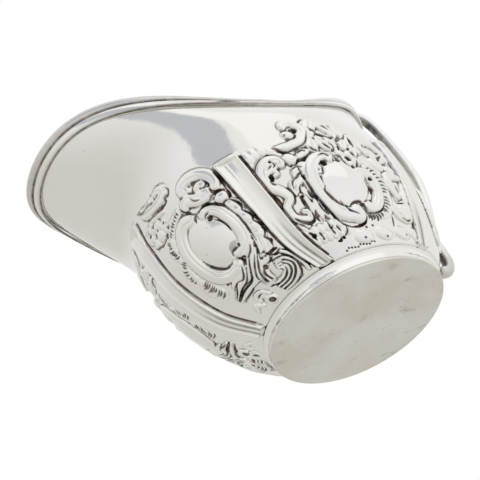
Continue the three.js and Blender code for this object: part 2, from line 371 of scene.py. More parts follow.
def front_flower(sheet):
    """Flower."""
    for turn in range(22, 382, 72):
        angle = math.radians(turn)
        middle = (-14.4 + 2.9 * math.cos(angle), 45.6 + 2.7 * math.sin(angle))
        sheet.boss(middle, (2.4, 2), 0.95, turn)
    for centre, radius in (
        ((-16.5, 47.3), 0.75), ((-13.2, 48.1), 0.65), ((-14.3, 45), 0.7), ((-12.2, 45.6), 0.4),
        ((-16.6, 44.4), 0.35), ((-8.6, 45.3), 0.5), ((-8.2, 42.9), 0.65), ((-10.7, 41.5), 0.7),
    ):
        sheet.pit(centre, radius, 0.9)
    sheet.boss((-9.4, 44.4), (1.9, 2.4), 0.7)


def front_fringe(sheet):
    """Feathered fringe round the left scroll."""
    for lobe in (
        [(-10.4, 38.6), (-12.4, 36.2), (-12, 33.4)], [(-12, 31.4), (-13, 28.2), (-12.8, 24.6)],
        [(-12, 22.2), (-12.2, 19), (-9.8, 15.8)], [(-9.4, 39.9), (-6, 42), (-2, 43.2)],
    ):
        sheet.ridge(lobe, 2.1, 0.5, (0.7, 1, 0.7))
    sheet.fringe([(-9.2, 39.4), (-7.6, 40), (-5.2, 41.4), (-2.4, 42.4)], 8, 1.5, lean=75)
    sheet.fringe([(-11.2, 38.8), (-11.6, 36.4), (-11, 33.4)], 7, -2.3, lean=55)
    sheet.fringe([(-10.9, 30.2), (-12.4, 28.6), (-13, 26.6), (-13, 24.4)], 8, -2, lean=75)
    sheet.fringe([(-10.6, 21.8), (-10, 19.4), (-9.6, 17.2), (-8.9, 15.2)], 9, -2.7, lean=80)
    sheet.line([(-7, 15.8), (-5.8, 15.5)], 0.3)


def front_sweeping_leaves(sheet):
    """Long leaves that sweep down to the left."""
    for spine, half in (
        ([(10, 20.4), (6.4, 17.4), (3.6, 14.6), (0.4, 12.8), (-4, 12.6), (-9.2, 10.6)], 1.4),
        ([(8.8, 18), (6, 15.2), (3, 11.8), (0, 10.2), (-4.4, 9.8), (-9.4, 9.2)], 1.1),
        ([(7.6, 16), (5, 13.4), (2.2, 10.4), (0.6, 7)], 1.1),
        ([(2.4, 15.8), (-0.8, 14.4), (-4, 14.6), (-6.4, 13.4)], 1),
    ):
        sheet.ridge(spine, half, 0.95, (0.4, 0.9, 1, 1, 0.8, 0.25))


def front_spiral(sheet):
    """Spiral of leaves at the foot, as thin ridges one inside the other."""
    for inset in (0, 1.25, 2.5, 3.7):
        sheet.ridge([(1.6, 1.2 + inset), (5.4, 1.4 + inset), (9.4 - 0.3 * inset, 3.4 + 0.8 * inset),
                     (12.2 - inset, 7.0 + 0.2 * inset), (11.6 - inset, 10.4 - 0.55 * inset),
                     (8.8 - 0.4 * inset, 11.0 - 0.75 * inset)], 0.75, 1.15 - 0.1 * inset,
                    (0.5, 0.9, 1, 1, 1, 0.6))
    for x in (0, 1.5, 2.9):
        sheet.ridge([(1.2 + x, 6.8), (1.8 + x, 9.8), (4.2 + x, 12.2), (6.8 + x, 13.6)], 0.75, 0.95)
    sheet.ridge([(8.4, 12.4), (10.4, 13.4), (12.8, 12.8), (13.9, 9.6), (13.2, 5.6), (11.6, 1.8)], 0.8, 1.05)


def front_curls(sheet):
    """Small curls beside the foot."""
    sheet.ridge([(-5.6, 4.6), (-4.9, 6.9), (-2.6, 6.7), (-1.6, 4.4)], 0.9, 0.8)
    sheet.boss((-3.6, 2.6), (2.1, 2), 0.8)
    sheet.pit((-3.4, 2.2), 1.1, 1.3)
    sheet.ridge([(-10.2, 3), (-8.4, 4.8), (-6.8, 3.2)], 0.9, 0.6)


def front_joints(sheet):
    """Dark joints between the ridges."""
    for joint in (
        [(-0.6, 43.4), (0, 41.2), (1.5, 39.3), (2.6, 38)], [(15.3, 44.6), (15.6, 41.6), (15.2, 38.4)],
        [(2.6, 38), (5.4, 38.1), (8.4, 37.2), (10.4, 35.3), (11.6, 34), (12, 32.2)],
        [(11.2, 41.4), (11.3, 39.6), (12.4, 39), (14.9, 38.4)], [(15.2, 38.2), (14.9, 36), (14, 34.8)],
        [(14, 34.8), (15.3, 32.6), (15.4, 30.8), (14.7, 29.8)],
        [(14.7, 29.8), (15.6, 28), (15.7, 26.4), (14.9, 25.4)],
        [(14.9, 25.4), (15.6, 23.4), (15.6, 21.4), (14.2, 19.6)],
        [(14.2, 19.6), (13.5, 19), (13.9, 17.4), (13.2, 15.7)],
        [(9.6, 14.8), (10.2, 13.4), (11.4, 12.7), (13.2, 13.4)], [(10, 13.6), (11.6, 14.2), (13, 14.2)],
        [(5.4, 11), (6.2, 11.8), (6.6, 11)], [(0.2, 5.2), (3, 4.5)],
    ):
        sheet.line(joint, BROAD_JOINT, BROAD_DEPTH)
    for joint in (
        [(-0.3, 53.2), (-0.5, 50.9), (-2.6, 50.1), (-3.8, 49.1), (-7, 49.6), (-11, 50.7)],
        [(-16.5, 57.6), (-14.8, 55.8), (-12.2, 54.9), (-9.8, 55)],
        [(-8.9, 53.3), (-7.3, 53.4), (-6.8, 54.8)], [(-8, 57), (-7, 56.2), (-4, 56.6), (-1.6, 55.2)],
        [(-19, 43.8), (-17, 42), (-14, 41.2), (-11, 41.4)], [(2.6, 38), (1.5, 36.6), (1.2, 35.5)],
        [(1.2, 45.8), (2, 45.1), (3, 45.2)], [(4.8, 45), (5.7, 44.2), (6.8, 45.2), (8.8, 46), (10.8, 45.5)],
        [(7, 46), (7.9, 46.6), (8.8, 46.1)], [(11, 45.3), (11.4, 43.6), (10.2, 42.6), (8.8, 43.2)],
        [(4.5, 42.8), (5.2, 41.2), (6.8, 40.2)], [(11.4, 34.7), (12.6, 35), (14, 34.8)],
        [(4.5, 34.4), (5.2, 35.2), (6.6, 35.4)], [(6.2, 33), (7.5, 31.2), (8.2, 29), (8, 26.6)],
        [(-5.9, 26), (-5, 22.4), (-2.9, 19.6), (-0.6, 18.4)],
        [(2.5, 20), (3.2, 21.3), (5.2, 21.6), (6.6, 21)], [(3.3, 19), (3.6, 17.2), (2.2, 15.7)],
        [(5, 17), (7.2, 18), (8.8, 19.8)],
        [(2.4, 15.2), (0.8, 13.6), (-1.6, 11.9), (-4.8, 11.4), (-9.4, 9.9)],
        [(-3.2, 13.9), (-1.4, 13.2), (0.6, 14.8), (1.8, 16.4)],
        [(-8.8, 10.8), (-6.4, 12), (-4.6, 13.4), (-3.2, 13.9)],
        [(7, 18.2), (4.4, 15.8), (1.8, 12.9), (-0.6, 10.9), (-4, 10.7), (-8.4, 9.9)],
        [(0.2, 9), (-2.4, 9.1), (-3.6, 8.8), (-8.8, 8.2)],
        [(8.2, 16.4), (5.6, 13.6), (3.2, 10.8), (2.2, 7.6)],
        [(0.9, 7.2), (1.6, 10.6), (4.2, 13.6), (7.2, 16.4)], [(3.6, 8), (4.1, 10), (5.6, 11.6)],
        [(6.6, 11.8), (8.6, 12), (9.8, 13.4)], [(-5.2, 5.6), (-4.4, 6.1), (-3, 6), (-2.5, 5)],
        [(11.8, 12.2), (12.9, 10), (12.4, 6.6), (10.2, 3.2), (8, 0.8)], [(14.9, 10), (14.4, 6), (12.8, 1)],
        [(1.4, 1.9), (5.4, 2), (9.2, 4.2), (11.5, 7.2), (11, 9.6), (8.6, 9.8)],
        [(1.4, 3.2), (5.4, 3.2), (8.6, 5), (10.3, 7.4), (9.8, 8.7), (8.2, 8.8)],
        [(1.4, 4.4), (5.2, 4.4), (8, 6), (9, 7.5)], [(1.6, 0.4), (5.6, 0.6), (9, 1.4)],
        [(12.5, 38.7), (10.4, 38.8), (9.2, 38.2)],
        [(12.1, 31.8), (12.6, 29), (12.4, 26.4), (11.8, 22.8), (11, 19.4)],
    ):
        sheet.line(joint, FINE_JOINT)
    sheet.line([(3.4, 21.3), (4.8, 22.6), (6.4, 23.4)], 1.1, 0, tone=0.5)
    sheet.line([(1.6, 7.4), (2.6, 9.2), (4, 10.6)], 0.8, 0, tone=0.6)
    sheet.pit((5.9, 11.2), 0.8, 1)
    sheet.pit((5.5, 33.8), 0.85, 1.1)
    sheet.pit((6.4, 21.8), 0.5, 1)
    sheet.pit((9, 43.1), 0.35, 0.6)


def side_boss(sheet):
    """The oval boss and the two scrolls that frame it."""
    sheet.boss((-1.4, 21.2), (7.4, 8.2), 1.4, turn=-12, power=0.6)
    sheet.scroll([(-2.2, 29.6), (-1.6, 31.2), (-5.2, 31.4), (-8.6, 28.8), (-10.4, 24.8), (-10.2, 20.4),
                  (-8.8, 15.8), (-6.4, 12), (-3.4, 10.6)], 2.3, 1.5,
                 (0.5, 0.75, 0.85, 1, 1, 1, 1.05, 1.1, 1.1))
    sheet.boss((-2.4, 10.9), (3.1, 3.5), 1.6)
    sheet.scroll([(4.4, 24.6), (7, 23.8), (8.2, 20.4), (7.9, 16.6), (6.2, 13.2), (3.6, 11.9), (1.8, 12.6)],
                 2, 1.3, (0.7, 0.9, 1, 1, 1, 1, 0.8), turned_scroll_section)
    sheet.boss((3.2, 12.6), (2, 1.9), 1.25)
    sheet.boss((4.2, 22.8), (1.9, 2.4), 1)
    sheet.ridge([(-6.8, 28.4), (-6.2, 26.8), (-7.4, 25.6)], 1, 1.1)


def side_fringe(sheet):
    """Fringe outside the right scroll."""
    sheet.ridge([(4, 9.6), (7.6, 10.6), (10.4, 13.8), (11.4, 18.6), (10.8, 23), (8.6, 26.2)], 2.2, 0.5,
                (0.8, 1, 1, 1, 1, 0.5))
    sheet.fringe([(1.4, 10.4), (3.6, 10), (5.6, 10.4)], 6, -2.1, lean=92, half=0.4, depth=0.7)
    sheet.fringe([(6.8, 11.4), (8.6, 13), (9.7, 15.6)], 6, -2, lean=88)
    sheet.fringe([(10, 17.4), (10.2, 20), (9.8, 22.4), (8.4, 25.2)], 8, -2.3, lean=82, depth=0.4)


def side_flower(sheet):
    """Flower and small leaves above the boss."""
    for turn in range(50, 410, 72):
        angle = math.radians(turn)
        sheet.boss((4.4 + 2.4 * math.cos(angle), 29.3 + 2.2 * math.sin(angle)), (2, 1.6), 1.05, turn)
    for centre, radius in (((4.2, 29.2), 1), ((7, 31.1), 0.8), ((3.8, 26), 0.6), ((0.6, 28.9), 0.5)):
        sheet.pit(centre, radius, 1.3)
    for leaf, half in (
        ([(-3.9, 33.2), (-3.6, 35.4), (-2, 38.6)], 1.9), ([(0.8, 33), (0.2, 35.6), (-0.2, 39)], 1.8),
        ([(2.6, 32.8), (3, 35.4), (2.4, 38.4)], 1.6), ([(5.4, 33), (6.6, 34.8), (8.4, 37)], 1.6),
        ([(-10.6, 32.6), (-8.2, 34), (-5.4, 34.4)], 1.5), ([(7.8, 30), (8.4, 32.6), (10.4, 34.6)], 1.5),
        ([(-1.4, 38.8), (1.4, 43.4), (3.8, 46.2), (6.4, 48.6)], 2),
        ([(5.4, 37.4), (6.6, 40.4), (4.8, 43.8), (2.8, 45.6)], 1.9),
        ([(8.6, 38), (9.4, 41), (8.6, 44)], 1.6),
    ):
        sheet.leaf(leaf, half, 1)


def side_top_scroll(sheet):
    """Top scroll with its knob and long tail."""
    sheet.scroll([(-13.8, 37.8), (-9.4, 37.4), (-5.2, 38.4), (-2.7, 40.8), (-2, 43.6), (-3.2, 46),
                  (-5.4, 45.8), (-6.8, 44.4)], 1.9, 1.2, (0.5, 0.85, 1, 1.1, 1.1, 1, 0.9, 0.6))
    sheet.boss((-7.4, 41.3), (2, 1.8), 1.1)


def side_shell(sheet):
    """Scalloped shell along the top left."""
    for centre, radii in (
        ((-22.4, 38.6), (1.6, 2)), ((-20.2, 39.2), (1.5, 1.8)), ((-17.9, 39.2), (1.6, 1.8)),
        ((-15.7, 38.2), (1.6, 1.7)), ((-14.6, 36.2), (1.3, 1.5)),
    ):
        sheet.boss(centre, radii, 0.45)


def side_left_scroll(sheet):
    """Left scroll, which turns back on itself below."""
    sheet.scroll([(-16.2, 32.2), (-15.6, 34.2), (-18.6, 35.2), (-21.8, 33.7), (-23.4, 30.6), (-22.9, 27),
                  (-21.2, 24.8), (-20.2, 23.2)], 2, 1.2, (0.6, 0.9, 1, 1, 1, 1, 0.9, 0.8))
    sheet.ridge([(-18, 34), (-18.2, 32.4), (-20, 31.6), (-21.6, 31)], 1, 1.1)
    sheet.ridge([(-18.8, 31.8), (-18.9, 30.2), (-20.2, 29.6)], 0.9, 1)
    sheet.scroll([(-20.4, 23.4), (-19.4, 21.6), (-21.4, 19.6), (-21.2, 16.8), (-18.8, 14.2), (-16.4, 13.6),
                  (-15.9, 15.4), (-17.4, 16.2)], 1.5, 1.15, (0.9, 1, 1, 1.1, 1, 0.9, 0.8, 0.6))
    sheet.leaf([(-22, 13.8), (-19.8, 11), (-17.4, 8.6)], 1.4, 1)


def side_leaves(sheet):
    """Leaves between the two scrolls."""
    sheet.boss((-12.7, 33.3), (2.2, 2.2), 1.05)
    for leaf, half in (
        ([(-15.2, 27.2), (-12.8, 28.8), (-9.8, 30.8)], 2.1),
        ([(-17.4, 21.4), (-16.6, 24.4), (-13.2, 26.2)], 1.9),
        ([(-13.2, 25.4), (-12.4, 22.6), (-13, 19.6)], 1.4),
        ([(-15.4, 21.4), (-15.2, 17.4), (-14.4, 12.8)], 1.2),
        ([(-13.2, 19), (-13.2, 15.6), (-12.6, 11.6)], 1.2),
        ([(-12, 18.6), (-11.4, 14.4), (-10, 10.6)], 1.2),
    ):
        sheet.leaf(leaf, half, 1)


def side_petals(sheet):
    """Two rows of small round petals that hang over the foot."""
    for x in (-18.6, -16.7, -14.8, -12.9, -11, -9.2):
        sheet.boss((x, 9.6), (1.25, 1.9), 0.75, turn=8)
        sheet.boss((x + 1.1, 6.9), (1.2, 1.8), 0.6, turn=8)
    for x in (-3.8, 3.2, 10, 16.2):
        sheet.boss((x, 3.4), (3.1, 2.6), 0.8, power=0.6)
    for centre in ((11.2, 2.8), (-3.8, 3), (3.4, 2.2), (-15.4, 6.6), (-1.4, 6.2), (0.9, 6.4)):
        sheet.pit(centre, 0.4, 0.6)
    for step in range(11):
        sheet.pit((-11.0 + 0.95 * step, 0.75 + 0.2 * (step * 3 % 4)), 0.3, 0.7)


def side_drop(sheet):
    """Scroll, drop and leaves beside the third rib."""
    sheet.scroll([(10.2, 31.6), (10, 35.2), (12.4, 38.2), (15.4, 40.2)], 1.8, 1, (0.4, 1, 1, 0.4))
    sheet.scroll([(13.4, 31.8), (12.8, 34.6), (15.4, 37.2), (19, 36.8), (21.4, 33.8)], 1.9, 1)
    sheet.boss((14.4, 27.8), (2.2, 2.8), 0.9, turn=20)
    sheet.boss((20.4, 31.2), (2.6, 2), 0.9, turn=35)
    sheet.boss((19.2, 26.2), (2.4, 2), 0.9, turn=20)
    sheet.scroll([(21.8, 23.4), (19.6, 23.8), (15.8, 23.4), (14.6, 20.2), (15.8, 16.4)], 1.7, 1.1)
    sheet.ridge([(21.4, 22), (20.6, 18.6), (19.2, 15.6)], 1.5, 1)
    sheet.boss((17.6, 11.6), (3.4, 4.2), 1.1, turn=-35)
    sheet.leaf([(11.6, 12.6), (12.6, 9.4), (15.6, 7.2)], 1.4, 0.8)


def side_joints(sheet):
    """Dark joints between the ridges."""
    for joint in (
        [(-12.4, 29.6), (-12.9, 26), (-12.6, 20.6), (-11.4, 16.4), (-9.9, 12.4), (-8, 9), (-5.8, 7.2)],
        [(-5.8, 7.2), (-3.6, 6.9), (-1.2, 7.6), (0.6, 9.6)],
        [(-8.3, 21.4), (-9.1, 19.8), (-8, 17.4), (-6.2, 14.6), (-3.4, 13.1)],
        [(-3.6, 13.5), (-1.8, 14.4), (0.3, 14.2), (0.9, 12.2), (1.4, 10.6)],
        [(5.2, 21.2), (5.5, 19.4), (6.1, 18), (5.7, 16.6)], [(-14.6, 38.6), (-13.6, 36.7), (-12, 35.8)],
        [(-4.8, 35.4), (-4.2, 34.1), (-3.4, 33.4)], [(0, 36), (0.6, 34.4), (1.3, 33.4)],
        [(-9.6, 34.3), (-8.2, 34.9), (-7, 34.5)], [(-20.6, 30.4), (-20.9, 29.2), (-22.2, 28.2)],
        [(-22, 28), (-21.3, 26.9)], [(-20.8, 15.2), (-19, 13.4), (-16.8, 12.3), (-15.3, 13), (-15.4, 15.2)],
        [(-16.6, 20.8), (-16.1, 18), (-15.6, 15.6)], [(-13.6, 21.8), (-13.2, 19.8), (-12.2, 17.8)],
        [(-14.2, 15.2), (-14.5, 13.4), (-13.9, 11.8)], [(-18.6, 9.8), (-17.6, 8.6)],
        [(-10.4, 5), (-11, 4.2), (-11.8, 4.3)], [(17.2, 29.2), (18, 30.9), (19.6, 32)],
        [(20.6, 25.4), (22.8, 27.2), (24.8, 29.6)], [(18, 20.8), (18.1, 18.8), (17.5, 17.2)],
        [(23.4, 17), (21.8, 13.8), (19.8, 10.2), (17.2, 6.6)],
        [(-25, 25.2), (-23.8, 24.2), (-23, 22.6), (-22.6, 20.4)], [(10.9, 38), (10.2, 36.2), (9.6, 33.8)],
    ):
        sheet.line(joint, BROAD_JOINT, BROAD_DEPTH)
    for joint in (
        [(-12, 35.8), (-8.4, 36), (-5.2, 37), (-3, 39.2), (-1.4, 41.2)],
        [(-9, 40.2), (-7.2, 39.4), (-5.6, 40.5), (-5.3, 42.2)], [(-9, 41), (-8.3, 41.5)],
        [(-5.2, 42), (-6, 43), (-7, 43.4)], [(-0.6, 45.4), (1.4, 47.2), (3.4, 48.4)],
        [(2.1, 36), (2.5, 34.2), (1.9, 33.1)], [(3.2, 33.8), (4.6, 33.6)],
        [(1, 31.4), (2.1, 30.4), (1.7, 28.6), (3, 26.4)], [(6.5, 28.4), (6, 26.6), (4.6, 26)],
        [(-5, 31.4), (-3, 31.8), (-1.6, 30.6)], [(-8.2, 25.8), (-7, 25.3), (-6.2, 27), (-5.6, 28.4)],
        [(0.6, 32.2), (0.8, 30.4), (0.4, 29)],
        [(9.8, 15.9), (8.6, 13.2), (6.6, 11.1), (4, 10.2), (1.4, 10.4)], [(3.4, 13.6), (4.4, 14.7)],
        [(-24.6, 30.4), (-23.8, 33.6), (-21.2, 36), (-18, 36.8), (-15.4, 35.8), (-14.6, 33.4), (-14.2, 31)],
        [(-14.2, 31), (-12.4, 30.7), (-10.4, 32.4)], [(-18, 34.2), (-17.8, 32.8), (-18.8, 32.2)],
        [(-18.4, 24.4), (-18.2, 21.4), (-19, 19.2)], [(-20.2, 18.8), (-19.6, 16.4), (-18.2, 15.2)],
        [(-14.6, 24.2), (-15.8, 22.8), (-15.4, 21)],
        [(-17.4, 23.4), (-16.6, 25.8), (-14.4, 26.8), (-12.8, 27.6)],
        [(-14.8, 29.6), (-12.8, 30), (-11.4, 29.4)], [(-14.6, 27.2), (-12.2, 28)],
        [(-12.5, 17.6), (-12, 15), (-11, 12.6)], [(-11.3, 15.2), (-10.8, 12.8)],
        [(-12.2, 10.8), (-12, 8.6), (-11.2, 9.4)], [(-7.4, 8), (-7.9, 6.4), (-9, 5.2)],
        [(-17.9, 8.6), (-17.4, 7)], [(-15.8, 8.8), (-15.3, 6.8)], [(-12, 8.4), (-11.6, 6.6)],
        [(-10.2, 9), (-9.7, 7)], [(16.8, 25.8), (17.3, 24.6)], [(22.6, 22.8), (23.8, 24.4)],
        [(14.2, 15.2), (15.4, 14), (17.4, 14.2)], [(13.4, 8.8), (15.2, 8), (17, 8.6)],
        [(8.4, 5.6), (9.3, 7.6), (10, 9.4)], [(17, 28.7), (19, 28.8), (20, 29.4)],
        [(7.6, 33.6), (6.6, 32.4)], [(4.2, 36), (4.6, 34.2)], [(-5.9, 15.8), (-4.4, 12.4), (-2.2, 10.4)],
    ):
        sheet.line(joint, FINE_JOINT)
    sheet.line([(0.6, 43), (0.9, 41.4), (2.6, 39.8), (5.4, 38)], 0.8, 0.9)
    sheet.line([(6.2, 44.2), (5.8, 42.8), (6.3, 41.4)], 0.55)
    for centre, radius in (
        ((7.1, 21.4), 0.7), ((-4.3, 28.9), 0.8), ((-4.5, 42.8), 1.1), ((-17.6, 8.4), 0.7),
        ((14.4, 34.4), 1), ((-15.9, 20.6), 0.5), ((-18.4, 34.4), 0.4), ((-9.7, 4.8), 0.5),
    ):
        sheet.pit(centre, radius, 1.1)


def back_panel(sheet):
    """The narrow panel between the third rib and the rib under the handle, a plainer form of the others."""
    sheet.boss((0, 21), (4.6, 6.6), 1.3, power=0.6)
    for hand in (-1, 1):
        frame_line = ((0.6, 29.6), (3.4, 30), (6, 26.6), (6.8, 21), (5.6, 15.6), (3, 12.6), (1, 12.8))
        sheet.scroll([(hand * x, y) for x, y in frame_line], 1.7, 1.3, (0.6, 0.9, 1, 1, 1, 0.9))
        sheet.leaf([(hand * 0.8, 32), (hand * 2.6, 34.4), (hand * 3.4, 38)], 1.4, 1)
        sheet.leaf([(hand * 6, 12.8), (hand * 4.2, 9.6), (hand * 1.6, 7.6)], 1.3, 0.9)
        sheet.line([(hand * 4.6, 26.4), (hand * 5.2, 21), (hand * 4.2, 15.8), (hand * 1.2, 14)], FINE_JOINT)
        sheet.line([(hand * 1.4, 31.6), (hand * 4.4, 31.8), (hand * 7.4, 28.4)], FINE_JOINT)
    sheet.leaf([(0, 32), (0, 36), (0, 40.6)], 1.6, 1.1)
    sheet.boss((0, 11.4), (1.8, 1.6), 1.3)


FRONT_PANEL = (
    front_dome, front_frill, front_band, front_top_scroll, front_long_scroll, front_flower, front_fringe,
    front_sweeping_leaves, front_spiral, front_curls, front_joints,
)
SIDE_PANEL = (
    side_boss, side_fringe, side_flower, side_top_scroll, side_shell, side_left_scroll, side_leaves,
    side_petals, side_drop, side_joints,
)
# The drawings of each panel, how many degrees round from the spout its middle line is, and its scale.
PANELS = ((FRONT_PANEL, 31, 1), (SIDE_PANEL, 93, 1), ((back_panel,), 155, 0.9))


# ---- height of the relief over the whole skin ------------
def rib_relief(points, angles, rises):
    """Heights of the ribs, hollow along the middle and closed at the top by a cap.

    Also where they cover the bowl, where it is dark beside them, and where they have dark streaks themselves.
    """
    around = np.linalg.norm(np.roll(points, -1, axis=1) - points, axis=2) / (angles[1] - angles[0]) / MM
    upward = np.linalg.norm(np.gradient(points, rises, axis=0), axis=2) / MM
    rise = rises[:, None]
    height = np.zeros(around.shape)
    covered = np.zeros(around.shape)
    beside = np.zeros(around.shape)
    streaked = np.zeros(around.shape)
    for start, turn, top in RIBS:
        middle = np.radians(start + turn * rise)
        swing = (angles[None, :] - middle + math.pi) % (2 * math.pi) - math.pi
        half = np.interp(rise / top, np.linspace(0, 1, len(RIB_HALF_WIDTHS)), RIB_HALF_WIDTHS)
        side = swing * around / half
        across = np.abs(side)
        below = (top - rise) * upward
        crease = 0.1 * np.exp(-(((side + 0.2) / 0.09) ** 2))
        channel = RIB_FLOOR + (1 - RIB_FLOOR) * np.clip(across / 0.75, 0, 1) ** 2 + crease
        border = RIB_BORDER * rounded((across - 0.86) / 0.18)
        body = np.where(across < 0.8, np.maximum(channel, border), border)
        cap = RIB_CAP * rounded(below - 1) * rounded(across / 1.1)
        shape = np.maximum(np.where(below > 1, body, 0), cap)
        height = np.maximum(height, shape)
        covered = np.maximum(covered, (across < 1.04) & (below > 0))
        near = np.clip(2.5 - 2.5 * np.abs(across - 1.13) / 0.13, 0, 1) * (below > 1.6) * (rise > 0.04)
        beside = np.maximum(beside, np.where(across > 1.02, near, 0))
        streaks = np.exp(-(((side + 0.42) / 0.1) ** 2)) + np.exp(-(((side - 0.2) / 0.16) ** 2))
        streaked = np.maximum(streaked, 0.75 * streaks * np.clip((0.32 - rise) / 0.14, 0, 1))
    return height, covered, beside, streaked


def panel_relief(points, angles, rises):
    """Heights, cuts and dark joints of the panels. The far side is the mirror image of the near side."""
    whole = Sheet(*np.zeros((2, *points.shape[:2])))
    step = np.linalg.norm(np.roll(points, -1, axis=1) - points, axis=2) / MM
    reach = len(angles) // 7
    for drawings, degrees, scale in PANELS:
        middle_line = skin(math.radians(degrees), rises)
        lengths = np.linalg.norm(np.diff(middle_line, axis=0), axis=1) / MM
        up = np.concatenate([[0], np.cumsum(lengths)])
        first = int(round(math.radians(degrees) / (angles[1] - angles[0])))
        for side in (1, -1):
            columns = (side * first + np.arange(-reach, reach + 1)) % len(angles)
            run = np.cumsum(step[:, columns], axis=1)
            x = run - run[:, [reach]]
            sheet = Sheet(x * side / scale, np.repeat(up[:, None], x.shape[1], axis=1) / scale)
            for draw in drawings:
                draw(sheet)
            for layer, drawn in zip(whole.layers(), sheet.layers()):
                layer[:, columns] = np.maximum(layer[:, columns], drawn)
    return whole.layers()


def relief(points, angles, rises):
    """Height of the whole relief in millimetres, and how dark the silver has turned in its hollows."""
    ribs, covered, beside, streaked = rib_relief(points, angles, rises)
    ornament, cut, ink = panel_relief(points, angles, rises)
    free = 1 - covered
    ornament, cut, ink = ornament * free, cut * free, ink * free
    raised = np.clip(ornament / 0.5, 0, 1)
    moat = MOAT_DEPTH * blurred(raised, MOAT_BLUR) * (1 - raised)
    height = np.maximum(ornament, ribs) - moat - cut - 0.5 * beside
    height = blurred(height, RELIEF_BLUR)
    hollow = blurred(height, HOLLOW_BLUR) - height
    dark = np.clip((hollow - OXIDE_FROM) / OXIDE_SPAN, 0, 1) * free
    dark = np.maximum(dark, blurred(np.maximum(ink, beside), 0.5))
    dark = np.maximum(dark, streaked * covered)
    fade = np.clip(rises / 0.012, 0, 1)[:, None]
    return height * fade, dark * fade


# ---- meshes ----------------------------------------------
def mesh_object(name, points, faces, dark):
    """A smooth object from points and groups of faces. dark is the darkening at each point: oxide in hollows
    and grooves, and painted shade on the rim wire and the handle.
    """
    mesh = bpy.data.meshes.new(name)
    mesh.vertices.add(len(points))
    mesh.vertices.foreach_set("co", np.asarray(points, np.float32).ravel())
    faces = [np.asarray(group, np.int32) for group in faces if len(group)]
    sizes = np.concatenate([np.full(len(group), group.shape[1], np.int32) for group in faces])
    mesh.loops.add(int(sizes.sum()))
    mesh.loops.foreach_set("vertex_index", np.concatenate([group.ravel() for group in faces]))
    mesh.polygons.add(len(sizes))
    mesh.polygons.foreach_set("loop_start", np.concatenate([[0], np.cumsum(sizes)[:-1]]).astype(np.int32))
    mesh.polygons.foreach_set("use_smooth", np.ones(len(sizes), bool))
    mesh.update(calc_edges=True)
    patina_and_shade = mesh.attributes.new("patina_and_shade", "FLOAT", "POINT")
    patina_and_shade.data.foreach_set("value", dark.astype(np.float32))
    thing = bpy.data.objects.new(name, mesh)
    bpy.context.scene.collection.objects.link(thing)
    return thing


def lofted(name, rings, dark=None, closes=False):
    """Skins a row of rings, as an array of rings by points by three. An open row is capped at both ends."""
    count, sides = rings.shape[:2]
    spans = count if closes else count - 1
    ring = np.arange(spans)[:, None] * sides
    after = (np.arange(spans)[:, None] + 1) % count * sides
    side = np.arange(sides)[None, :]
    turn = (side + 1) % sides
    quads = np.stack([ring + side, ring + turn, after + turn, after + side], axis=-1).reshape(-1, 4)
    points = rings.reshape(-1, 3)
    shade = np.zeros(len(points)) if dark is None else dark.ravel()
    fans = np.zeros((0, 3), int)
    if not closes:
        centres = np.stack([rings[0].mean(axis=0), rings[-1].mean(axis=0)])
        bottom, top = len(points), len(points) + 1
        last = (count - 1) * sides
        around = np.arange(sides)
        onward = (around + 1) % sides
        low = np.stack([onward, around, np.full(sides, bottom)], axis=-1)
        high = np.stack([last + around, last + onward, np.full(sides, top)], axis=-1)
        fans = np.concatenate([low, high])
        points = np.concatenate([points, centres])
        shade = np.concatenate([shade, [0, 0]])
    corners = points[quads[:, :3]]
    normals = np.cross(corners[:, 1] - corners[:, 0], corners[:, 2] - corners[:, 0])
    if (corners.mean(axis=1) * normals).sum() < 0:
        quads = quads[:, ::-1]
        fans = fans[:, ::-1]
    return mesh_object(name, points, [quads, fans], shade)


def turned(name, profile, sides=TURNED_SIDES, closes=False):
    """A turned piece from its profile of radius and height, capped at both ends or closed on itself."""
    profile = np.asarray(profile, float)
    around = np.linspace(0, 2 * math.pi, sides, endpoint=False)
    circle = np.stack([np.cos(around), np.sin(around)], axis=-1)
    rings = np.concatenate([
        profile[:, None, :1] * circle[None],
        np.broadcast_to(profile[:, None, 1:], (len(profile), sides, 1)),
    ], axis=-1)
    return lofted(name, rings, closes=closes)


def eased(corners, radius, steps=5):
    """An outline with its inner corners rounded."""
    corners = [np.asarray(corner, float) for corner in corners]
    line = [corners[0]]
    for before, corner, after in zip(corners, corners[1:], corners[2:]):
        inward = before - corner
        onward = after - corner
        cut = min(radius, 0.45 * np.linalg.norm(inward), 0.45 * np.linalg.norm(onward))
        start = corner + inward / np.linalg.norm(inward) * cut
        end = corner + onward / np.linalg.norm(onward) * cut
        for share in np.linspace(0, 1, steps):
            line.append((1 - share) ** 2 * start + 2 * share * (1 - share) * corner + share**2 * end)
    line.append(corners[-1])
    return line


# ---- pieces ----------------------------------------------
def bowl():
    """The bowl's sheet: up the outside with its relief, over the lip and down the inside to the floor."""
    angles = np.linspace(0, 2 * math.pi, COLUMNS, endpoint=False)
    ornament_rises = np.linspace(0, ORNAMENT_TOP, ORNAMENT_ROWS)
    points = skin(angles[None, :], ornament_rises[:, None])
    height, dark = relief(points, angles, ornament_rises)
    out, _ = skin_frame(angles[None, :], ornament_rises[:, None])
    lower = points + out * (height * MM)[..., None]
    plain = np.linspace(ORNAMENT_TOP, 1, PLAIN_ROWS + 1)[1:]
    upper = skin(angles[None, :], plain[:, None])
    inner_rises = np.linspace(1, 0, INNER_ROWS)
    inner_out, _ = skin_frame(angles[None, :], inner_rises[:, None])
    inner = skin(angles[None, :], inner_rises[:, None]) - inner_out * WALL
    inner[..., 2] = np.maximum(inner[..., 2], size_at(0, np.zeros(1))[0] + WALL)
    shade = np.concatenate([dark, np.zeros((len(upper) + len(inner), COLUMNS))])
    return lofted("bowl", np.concatenate([lower, upper, inner]), shade)


